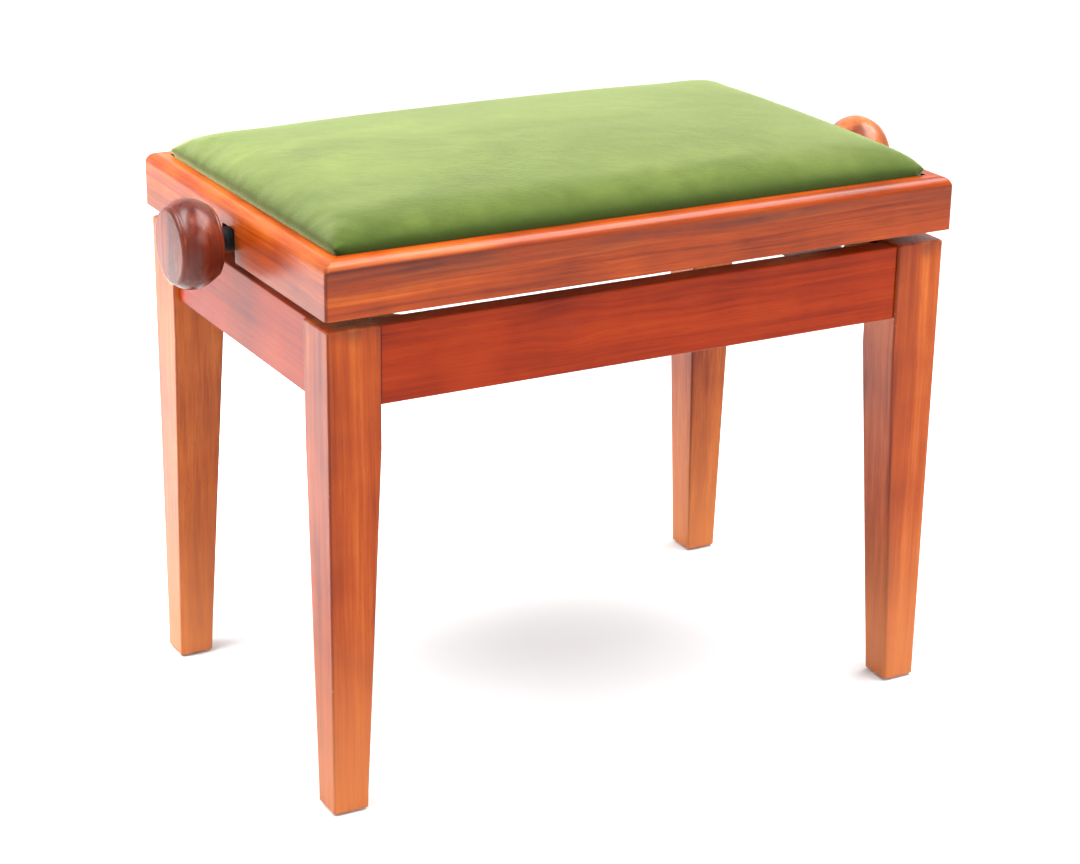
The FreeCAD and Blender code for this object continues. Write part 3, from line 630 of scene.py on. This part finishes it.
def brassFinish():
    finish = Finish("turned brass", {"Metallic": 1.0})
    place = finish.coordinates()
    rings = finish.noise(finish.vector("MULTIPLY", place, (2600.0, 60.0, 60.0)), 1.0, 1.0)
    tarnish = finish.noise(place, 90.0, 3.0)
    finish.set("Base Color", finish.mix(*hardware["brass"], finish.rise(tarnish, 0.5, 0.8)))
    finish.set("Roughness", rings * 0.2 + 0.18)
    finish.set("Normal", finish.bump(rings, 0.12, 0.0002))
    return finish


def nylonFinish():
    finish = Finish("nylon", {"Specular IOR Level": 0.5, "Subsurface Weight": 0.15,
                              "Subsurface Radius": (0.002, 0.0018, 0.0014)})
    place = finish.coordinates()
    mottle = finish.noise(place, 240.0, 3.0)
    finish.set("Base Color", finish.mix(*hardware["nylon"], mottle))
    finish.set("Roughness", mottle * 0.15 + 0.36)
    finish.set("Normal", finish.bump(mottle, 0.08, 0.0003))
    return finish


def collarFinish():
    finish = Finish("black spindle collar", {"Specular IOR Level": 0.2})
    place = finish.coordinates()
    scuffs = finish.noise(finish.vector("MULTIPLY", place, (500.0, 90.0, 90.0)), 1.0, 3.0)
    finish.set("Base Color", finish.mix(*hardware["collar"], finish.rise(scuffs, 0.5, 0.8)))
    finish.set("Roughness", scuffs * 0.3 + 0.40)
    finish.set("Normal", finish.bump(scuffs, 0.1, 0.0002))
    return finish


def feltFinish():
    finish = Finish("pressed felt", {"Roughness": 0.95, "Specular IOR Level": 0.1, "Sheen Weight": 0.5,
                                     "Sheen Roughness": 0.5})
    place = finish.coordinates()
    hairs = finish.noise(place, 1500.0, 3.0, 0.7, 1.5)
    lumps = finish.noise(place, 180.0, 2.0)
    finish.set("Base Color", finish.mix(*hardware["felt"], hairs * lumps * 1.6))
    finish.set("Normal", finish.bump(hairs + lumps, 0.6, 0.0006))
    return finish


slotFinish = {
    "black_steel": blackPaintFinish(),
    "zinc_steel": zincFinish(),
    "brass": brassFinish(),
    "nylon": nylonFinish(),
    "felt": feltFinish(),
}
for node, slot in slotOf.items():
    if slot in slotFinish:
        paint(nodes[node], slotFinish[slot])
paint(nodes["spindle_collars"], collarFinish())
print("hardware: painted")


# ---- knobs, turned

knobShape = {
    "axisZ": 0.414,
    "faceX": 0.324,
    "backX": 0.2885,
    "faceRadius": 0.0302,
    "barrelRadius": 0.0348,
    "backRadius": 0.0284,
    "faceRound": 0.0034,
    "backRound": 0.0030,
    "faceDome": 0.0004,
    "boreRadius": 0.0086,
    "boreEnd": 0.3122,
    "steps": 128,
    "streaks": 1.3,
}


def knobProfile(shape):
    # from the middle of the face out over its soft edge, round the barrel, in over the back and up the bore
    t = np.linspace(0.0, 1.0, 17)
    quarter = t * math.pi / 2
    flatReach = shape["faceRadius"] - shape["faceRound"]
    faceR = 0.0004 + t[:-1] * (flatReach - 0.0004)
    faceX = shape["faceX"] - shape["faceDome"] * (faceR / flatReach) ** 2
    edgeX = shape["faceX"] - shape["faceDome"] - shape["faceRound"] * (1 - np.cos(quarter))
    edgeR = flatReach + shape["faceRound"] * np.sin(quarter)
    backEdgeX = shape["backX"] + shape["backRound"] * (1 - np.sin(quarter))
    backEdgeR = shape["backRadius"] - shape["backRound"] * (1 - np.cos(quarter))
    # the barrel is a shallow arch between its two edges, fullest a little towards the face
    s = np.linspace(0.0, 1.0, 34)[1:-1]
    barrelX = edgeX[-1] + s * (backEdgeX[0] - edgeX[-1])
    arch = np.sin(math.pi * s ** 0.92) ** 0.82
    chord = edgeR[-1] + s * (backEdgeR[0] - edgeR[-1])
    barrelR = chord + arch * (shape["barrelRadius"] - (edgeR[-1] + backEdgeR[0]) / 2)
    backR = np.linspace(backEdgeR[-1], shape["boreRadius"], 10)[1:]
    boreX = np.linspace(shape["backX"], shape["boreEnd"], 8)[1:]
    endR = np.linspace(shape["boreRadius"], 0.0004, 4)[1:]
    x = np.concatenate([faceX, edgeX, barrelX, backEdgeX, np.full(9, shape["backX"]), boreX,
                        np.full(3, shape["boreEnd"])])
    r = np.concatenate([faceR, edgeR, barrelR, backEdgeR, backR, np.full(7, shape["boreRadius"]), endR])
    return x, r


def turned(name, x, r, axisZ, steps, side=1):
    # a profile (x, r) carried round the X axis at height axisZ; side -1 mirrors it and turns it the
    # other way
    angle = np.linspace(0.0, 2 * math.pi, steps, endpoint=False) * -side
    points = np.stack([np.repeat(side * x[:, None], steps, axis=1), r[:, None] * np.cos(angle)[None],
                       axisZ + r[:, None] * np.sin(angle)[None]], axis=-1)
    return surface(name, points, columnsClose=True, poles=True)


def knobFinish(name, side):
    # the right knob gets the paler copy: painted light
    look = knobWood if side < 0 else paleLitKnobWood
    return woodFinish(name, look, "z", (side * 2.0, 0.3, side * 0.4 + 0.5), knobShape["streaks"])


for name, side in (("left", -1), ("right", 1)):
    x, r = knobProfile(knobShape)
    knob = turned("turned_knob_" + name, x, r, knobShape["axisZ"], knobShape["steps"], side)
    paint(knob, knobFinish("turned knob wood " + name, side))
    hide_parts("knob_" + name)
    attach(knob, "spindle")
print("knobs: turned")


# ---- spindle with its thread

spindleShape = {
    "radius": 0.006,
    "halfLength": 0.312,
    "threadFrom": 0.098,
    "threadTo": 0.186,
    "pitch": 0.002,
    "depth": 0.00075,
    "runOut": 0.002,
    "chamfer": 0.0008,
    "steps": 32,
    "stepsPerPitch": 8,
    "axisZ": 0.414,
}


def makeSpindle(shape):
    # radius of a plain rod, less a zigzag that climbs one pitch for each turn, faded out at both ends
    half = shape["halfLength"]
    count = int(round((shape["threadTo"] - shape["threadFrom"]) / shape["pitch"] * shape["stepsPerPitch"]))
    threaded = np.linspace(shape["threadFrom"], shape["threadTo"], count)
    left = np.concatenate([[-half, -half + shape["chamfer"]], np.linspace(-0.3, 0.09, 40)])
    x = np.concatenate([left, threaded, np.linspace(0.19, 0.3, 12), [half - shape["chamfer"], half]])
    angle = np.linspace(0.0, 2 * math.pi, shape["steps"], endpoint=False)
    phase = (x[:, None] / shape["pitch"] - angle[None] / (2 * math.pi)) % 1.0
    groove = 1.0 - np.abs(phase * 2.0 - 1.0)
    fade = np.clip((x - shape["threadFrom"]) / shape["runOut"], 0, 1)
    fade = fade * np.clip((shape["threadTo"] - x) / shape["runOut"], 0, 1)
    body = np.where(np.abs(x) > half - 1e-6, shape["radius"] - shape["chamfer"], shape["radius"])
    radius = body[:, None] - shape["depth"] * groove * fade[:, None]
    points = np.stack([np.repeat(x[:, None], shape["steps"], axis=1), radius * np.cos(angle)[None],
                       shape["axisZ"] + radius * np.sin(angle)[None]], axis=-1)
    return surface("threaded_spindle", points, columnsClose=True, poles=True)


spindle = makeSpindle(spindleShape)
paint(spindle, slotFinish["zinc_steel"])
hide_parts("spindle")
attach(spindle, "spindle")
print("spindle: threaded")


# ---- cushion

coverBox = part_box("seat_cover")
cushionShape = {
    "halfX": coverBox[1].x,
    "halfY": coverBox[1].y,
    "corner": 0.008,
    "rest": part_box("seat_board")[1].z + 0.0004,   # it lies on the board
    "railTop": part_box("seat_rail_front")[1].z,
    "edgeRun": 0.031,
    "edgeRise": 0.0192,
    "lip": 0.003,        # height over the rails where the side stands out furthest
    "crown": 0.0100,
    "overX": 0.0046,     # how far the side swells over the end rails' inner edges
    "overY": 0.0028,     # and over the long rails'
    "voxel": 0.004,
    "pressure": 4.0,
    "cap": 0.0018,
    "smoothing": 14,
    "frames": 20,
}
velvetLook = {
    "deep": (0.024, 0.042, 0.006),
    "middle": (0.072, 0.104, 0.018),
    "light": (0.142, 0.188, 0.040),
    # painted shade for the sloping sides
    "slope": (0.036, 0.060, 0.010),
    "sheenTint": (0.88, 1.00, 0.50),
}


def cushionStart(shape):
    # rings of a rounded rectangle: in from the flat underside's middle, out, up the side and over the crown
    along = np.linspace(0.0, 1.0, 320, endpoint=False)
    shares = loopShares(shape["halfX"], shape["halfY"], 3 * shape["corner"])
    rail = shape["railTop"]
    rings = [(gap, shape["rest"], 0.0) for gap in np.linspace(0.150, 0.004, 12)]
    # gap in from the side, height, share of the swell over the rails
    rings += [(0.0008, shape["rest"] + 0.0008, 0.0), (0.0, rail - 0.0005, 0.0), (0.0, rail + 0.0012, 0.6)]
    for angle in np.linspace(0.0, math.pi / 2, 14):
        # a quarter of an ellipse, a little fuller than round
        inward = (1 - math.cos(angle)) ** 0.92
        height = rail + shape["lip"] + (shape["edgeRise"] - shape["lip"]) * math.sin(angle)
        rings.append((shape["edgeRun"] * inward, height, 1.0))
    rings += [(gap, rail + shape["edgeRise"], 1.0) for gap in np.linspace(shape["edgeRun"], 0.157, 26)[1:]]
    grid = []
    for gap, z, swell in rings:
        halfX = shape["halfX"] + shape["overX"] * swell - gap
        halfY = shape["halfY"] + shape["overY"] * swell - gap
        corner = min(shape["corner"] + 0.85 * max(gap, 0.0), halfY - 0.001)
        x, y = roundedLoop(halfX, halfY, corner, along, shares)[:2]
        grid.append(np.stack([x, y, np.full_like(x, z)], axis=-1))
    points = np.array(grid)
    # the crown is a flattened dome over the whole top
    across = np.clip(1 - (points[..., 0] / shape["halfX"]) ** 2, 0, 1) ** 0.75
    deep = np.clip(1 - (points[..., 1] / shape["halfY"]) ** 2, 0, 1)
    raised = points[..., 2] > rail + 0.002
    points[..., 2] += np.where(raised, shape["crown"] * across * deep, 0.0)
    return surface("seat_cushion", points, columnsClose=True, poles=True)


def applyModifiers(obj):
    graph = bpy.context.evaluated_depsgraph_get()
    mesh = bpy.data.meshes.new_from_object(obj.evaluated_get(graph))
    old = obj.data
    obj.modifiers.clear()
    obj.data = mesh
    bpy.data.meshes.remove(old)


def coordinatesOf(mesh):
    co = np.zeros(len(mesh.vertices) * 3)
    mesh.vertices.foreach_get("co", co)
    return co.reshape(-1, 3)


def inflate(obj, shape):
    # the cover is held round its lower edge and blown up like a cushion, then its travel is capped
    before = coordinatesOf(obj.data)
    held = obj.vertex_groups.new(name="held")
    low = np.nonzero(before[:, 2] < shape["railTop"] - 0.001)[0].tolist()
    held.add(low, 1.0, "REPLACE")
    cloth = obj.modifiers.new("cloth", "CLOTH")
    settings = cloth.settings
    settings.quality = 6
    settings.mass = 0.3
    settings.tension_stiffness = 25.0
    settings.compression_stiffness = 10.0
    settings.shear_stiffness = 8.0
    settings.bending_stiffness = 1.2
    settings.vertex_group_mass = "held"
    settings.use_pressure = True
    settings.uniform_pressure_force = shape["pressure"]
    settings.effector_weights.gravity = 0.0
    cloth.point_cache.frame_start = 1
    cloth.point_cache.frame_end = shape["frames"]
    for step in range(1, shape["frames"] + 1):
        bpy.context.scene.frame_set(step)
    applyModifiers(obj)
    bpy.context.scene.frame_set(1)
    after = coordinatesOf(obj.data)
    moved = after - before
    length = np.linalg.norm(moved, axis=1, keepdims=True)
    moved = moved * np.minimum(1.0, shape["cap"] / np.maximum(length, 1e-9))
    obj.data.vertices.foreach_set("co", (before + moved).ravel())
    obj.data.update()
    print("cushion: cloth moved up to %.1f mm" % (float(length.max()) * 1000))


def relax(obj, shape):
    # foam under the cover lets no fold stand: the part above the rails is averaged with its neighbours
    co = coordinatesOf(obj.data)
    ends = np.zeros(len(obj.data.edges) * 2, dtype=np.int64)
    obj.data.edges.foreach_get("vertices", ends)
    first, second = ends[0::2], ends[1::2]
    count = np.bincount(ends, minlength=len(co))[:, None]
    share = np.clip((co[:, 2:3] - shape["railTop"] - 0.004) / 0.006, 0, 1)
    for step in range(shape["smoothing"]):
        total = np.zeros_like(co)
        np.add.at(total, first, co[second])
        np.add.at(total, second, co[first])
        co = co + 0.6 * share * (total / count - co)
    obj.data.vertices.foreach_set("co", co.ravel())
    obj.data.update()


def settle(obj, shape):
    # pulls between staples dimple the lower side, and nothing enters the rails or the board
    co = coordinatesOf(obj.data)
    x, y, z = co[:, 0], co[:, 1], co[:, 2]
    gapX = shape["halfX"] - np.abs(x)
    gapY = shape["halfY"] - np.abs(y)
    edge = np.clip(1 - np.minimum(gapX, gapY) / 0.030, 0, 1) ** 2
    run = np.where(gapX < gapY, y, x)
    pull = 0.55 * np.sin(run * 118.0 + 0.7) + 0.30 * np.sin(run * 263.0 + 2.1) + 0.15 * np.sin(run * 411.0)
    above = np.clip((z - shape["railTop"]) / 0.006, 0, 1)
    z = z + 0.0005 * pull * edge * above
    # over the rail the side may swell out; inside the frame it keeps to its own gap
    free = np.clip((z - shape["railTop"] - 0.0006) / 0.002, 0, 1)
    limitX = shape["halfX"] + shape["overX"] * free
    limitY = shape["halfY"] + shape["overY"] * free
    x = np.clip(x, -limitX, limitX)
    y = np.clip(y, -limitY, limitY)
    z = np.maximum(z, shape["rest"])
    obj.data.vertices.foreach_set("co", np.stack([x, y, z], axis=-1).ravel())
    obj.data.update()


def makeCushion(shape):
    cushion = cushionStart(shape)
    remesh = cushion.modifiers.new("remesh", "REMESH")
    remesh.mode = "VOXEL"
    remesh.voxel_size = shape["voxel"]
    remesh.use_smooth_shade = True
    applyModifiers(cushion)
    inflate(cushion, shape)
    relax(cushion, shape)
    settle(cushion, shape)
    smooth = cushion.modifiers.new("subdivision", "SUBSURF")
    smooth.levels = 1
    smooth.render_levels = 1
    return cushion


def velvetFinish():
    finish = Finish("green velvet", {
        "Roughness": 0.95,
        "Specular IOR Level": 0.05,
        "Sheen Weight": 1.0,
        "Sheen Roughness": 0.38,
        "Sheen Tint": velvetLook["sheenTint"],
    })
    place = finish.coordinates()
    # brushed nap: broad strokes one way, mottles over them, and the fine pile itself
    drift = finish.noise(place, 5.0, 2.0).out("Color")
    bent = finish.vector("MULTIPLY_ADD", drift, (0.06, 0.06, 0.02), place)
    strokes = finish.noise(finish.vector("MULTIPLY", bent, (9.0, 17.0, 9.0)), 1.0, 3.0, 0.5, 0.6)
    mottles = finish.noise(bent, 48.0, 4.0, 0.6)
    pile = finish.noise(place, 1900.0, 2.0, 0.7)
    nap = (strokes - 0.5) * 0.85 + (mottles - 0.5) * 0.40 + (pile - 0.5) * 0.6 + 0.53
    colour = finish.ramp(nap, [(0.05, velvetLook["deep"]), (0.95, velvetLook["light"]),
                               (0.5, velvetLook["middle"])])
    # the sloping sides are painted darker: painted shade, for the velvet's deep look where its sheen is weak
    up = finish.part(finish.coordinates("Normal"), "Z")
    colour = finish.mix(velvetLook["slope"], colour, finish.rise(up, 0.45, 0.975))
    finish.set("Base Color", colour)
    soft = finish.noise(place, 520.0, 3.0, 0.6)
    finish.set("Normal", finish.bump(pile + soft * 1.4 + mottles * 2.0, 0.5, 0.0005))
    return finish


cushion = makeCushion(cushionShape)
velvet = velvetFinish()
paint(cushion, velvet)
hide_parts("seat_cover", "seat_foam")
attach(cushion, "seat")
print("cushion: made")


# ---- the cover's edge, turned under the board and stapled

hemShape = {
    "boardX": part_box("seat_board")[1].x,
    "boardY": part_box("seat_board")[1].y,
    "boardBottom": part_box("seat_board")[0].z,
    "corner": 0.0085,
    "width": 0.025,
    "thickness": 0.0011,
    "clear": 0.0002,
    "bend": 0.0009,
    "pleat": 0.00012,
    "steps": 480,
}
staples = {
    "pitch": 0.032,
    "inset": 0.017,
    "length": 0.011,
    "wire": 0.0006,
    "reach": 0.0009,
    "corner": 0.006,
    "tilt": 0.12,
    "sunk": 0.0004,
}


def makeHem(shape):
    # section: down the board's edge, round its lower arris and in under it; carried round the board
    t = np.linspace(0.0, 1.0, 7)
    quarter = t * math.pi / 2
    top = cushionShape["rest"] + 0.0008
    gap = shape["clear"]
    bend = shape["bend"]
    outR = gap + shape["thickness"]
    under = -np.linspace(0.003, shape["width"], 9)
    side = np.linspace(top, shape["boardBottom"] + bend, 5)
    outOffset = np.concatenate([np.full(5, outR),
                                outR - (bend + shape["thickness"]) * (1 - np.cos(quarter[1:])), under])
    outZ = np.concatenate([side, shape["boardBottom"] + bend - (bend + outR) * np.sin(quarter[1:]),
                           np.full(9, shape["boardBottom"] - outR)])
    inOffset = np.concatenate([np.full(5, gap), gap - bend * (1 - np.cos(quarter[1:])), under])
    inZ = np.concatenate([side, shape["boardBottom"] + bend - (bend + gap) * np.sin(quarter[1:]),
                          np.full(9, shape["boardBottom"] - gap)])
    offset = np.concatenate([outOffset, inOffset[::-1]])
    z = np.concatenate([outZ, inZ[::-1]])
    along = np.linspace(0.0, 1.0, shape["steps"], endpoint=False)
    shares = loopShares(shape["boardX"], shape["boardY"], 2 * shape["corner"])
    rows = []
    for out, height in zip(offset, z):
        corner = max(shape["corner"] + out, 0.0008)
        x, y = roundedLoop(shape["boardX"] + out, shape["boardY"] + out, corner, along, shares)[:2]
        rows.append(np.stack([x, y, np.full_like(x, height)], axis=-1))
    points = np.array(rows)
    # folded corners stand off the board in small pleats, and the cut edge wanders
    inward = np.clip(-offset / shape["width"], 0, 1)[:, None]
    x, y = points[..., 0], points[..., 1]
    nearCorner = np.clip(1 - np.hypot(np.abs(x) - shape["boardX"], np.abs(y) - shape["boardY"]) / 0.03, 0, 1)
    fold = np.sin(np.arctan2(np.abs(y) - shape["boardY"], np.abs(x) - shape["boardX"]) * 9.0)
    points[..., 2] -= shape["pleat"] * (1 + fold) * nearCorner * inward
    wander = 0.0009 * np.sin(along * 97.0) + 0.0006 * np.sin(along * 211.0 + 1.0)
    centre = np.maximum(np.hypot(x, y), 1e-6)
    points[..., 0] -= x / centre * wander[None] * inward ** 4
    points[..., 1] -= y / centre * wander[None] * inward ** 4
    return surface("cover_hem", points[::-1], rowsClose=True, columnsClose=True)


def makeStaples(shape, hem):
    # one staple is a thin wire bent into a flat bridge; copies stand in a row round the hem
    halfX = hem["boardX"] - shape["inset"]
    halfY = hem["boardY"] - shape["inset"]
    roundTrip = 4 * (halfX + halfY)
    count = int(roundTrip / shape["pitch"])
    s = (np.arange(count) + 0.5) / count
    corner = shape["corner"]
    x, y, outX, outY = roundedLoop(halfX, halfY, corner, s, loopShares(halfX, halfY, corner))
    tilt = shape["tilt"] * np.sin(np.arange(count) * 2.3)
    alongX = -outY * np.cos(tilt) - outX * np.sin(tilt)
    alongY = outX * np.cos(tilt) - outY * np.sin(tilt)
    under = hem["boardBottom"] - hem["clear"] - hem["thickness"]
    half = shape["length"] / 2
    path = np.array([[-half, 0.0], [-half * 0.97, 0.75], [-half * 0.88, 1.0], [half * 0.88, 1.0],
                     [half * 0.97, 0.75], [half, 0.0]])
    ring = np.array([[-1, -1], [1, -1], [1, 1], [-1, 1]]) * shape["wire"] / 2
    vertices = []
    faces = []
    block = gridFaces(len(path), 4, False, True)
    for index in range(count):
        spread = path[:, 0][:, None] + 0 * ring[:, 0][None]
        depth = path[:, 1][:, None] * shape["reach"] + ring[:, 1][None]
        across = ring[:, 0][None] + 0 * depth
        px = x[index] + spread * alongX[index] + across * outX[index]
        py = y[index] + spread * alongY[index] + across * outY[index]
        pz = under + shape["sunk"] - depth
        faces += (block + len(vertices) * 24).tolist()
        faces += [[len(vertices) * 24 + k for k in (3, 2, 1, 0)]]
        faces += [[len(vertices) * 24 + 20 + k for k in (0, 1, 2, 3)]]
        vertices.append(np.stack([px, py, pz], axis=-1).reshape(-1, 3))
    mesh = bpy.data.meshes.new("hem_staples")
    mesh.from_pydata(np.concatenate(vertices).tolist(), [], faces)
    mesh.update()
    made = bpy.data.objects.new("hem_staples", mesh)
    bpy.context.scene.collection.objects.link(made)
    return made


hem = makeHem(hemShape)
paint(hem, velvet)
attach(hem, "seat")
stapleRow = makeStaples(staples, hemShape)
paint(stapleRow, slotFinish["zinc_steel"])
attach(stapleRow, "seat")
print("hem: turned under and stapled")
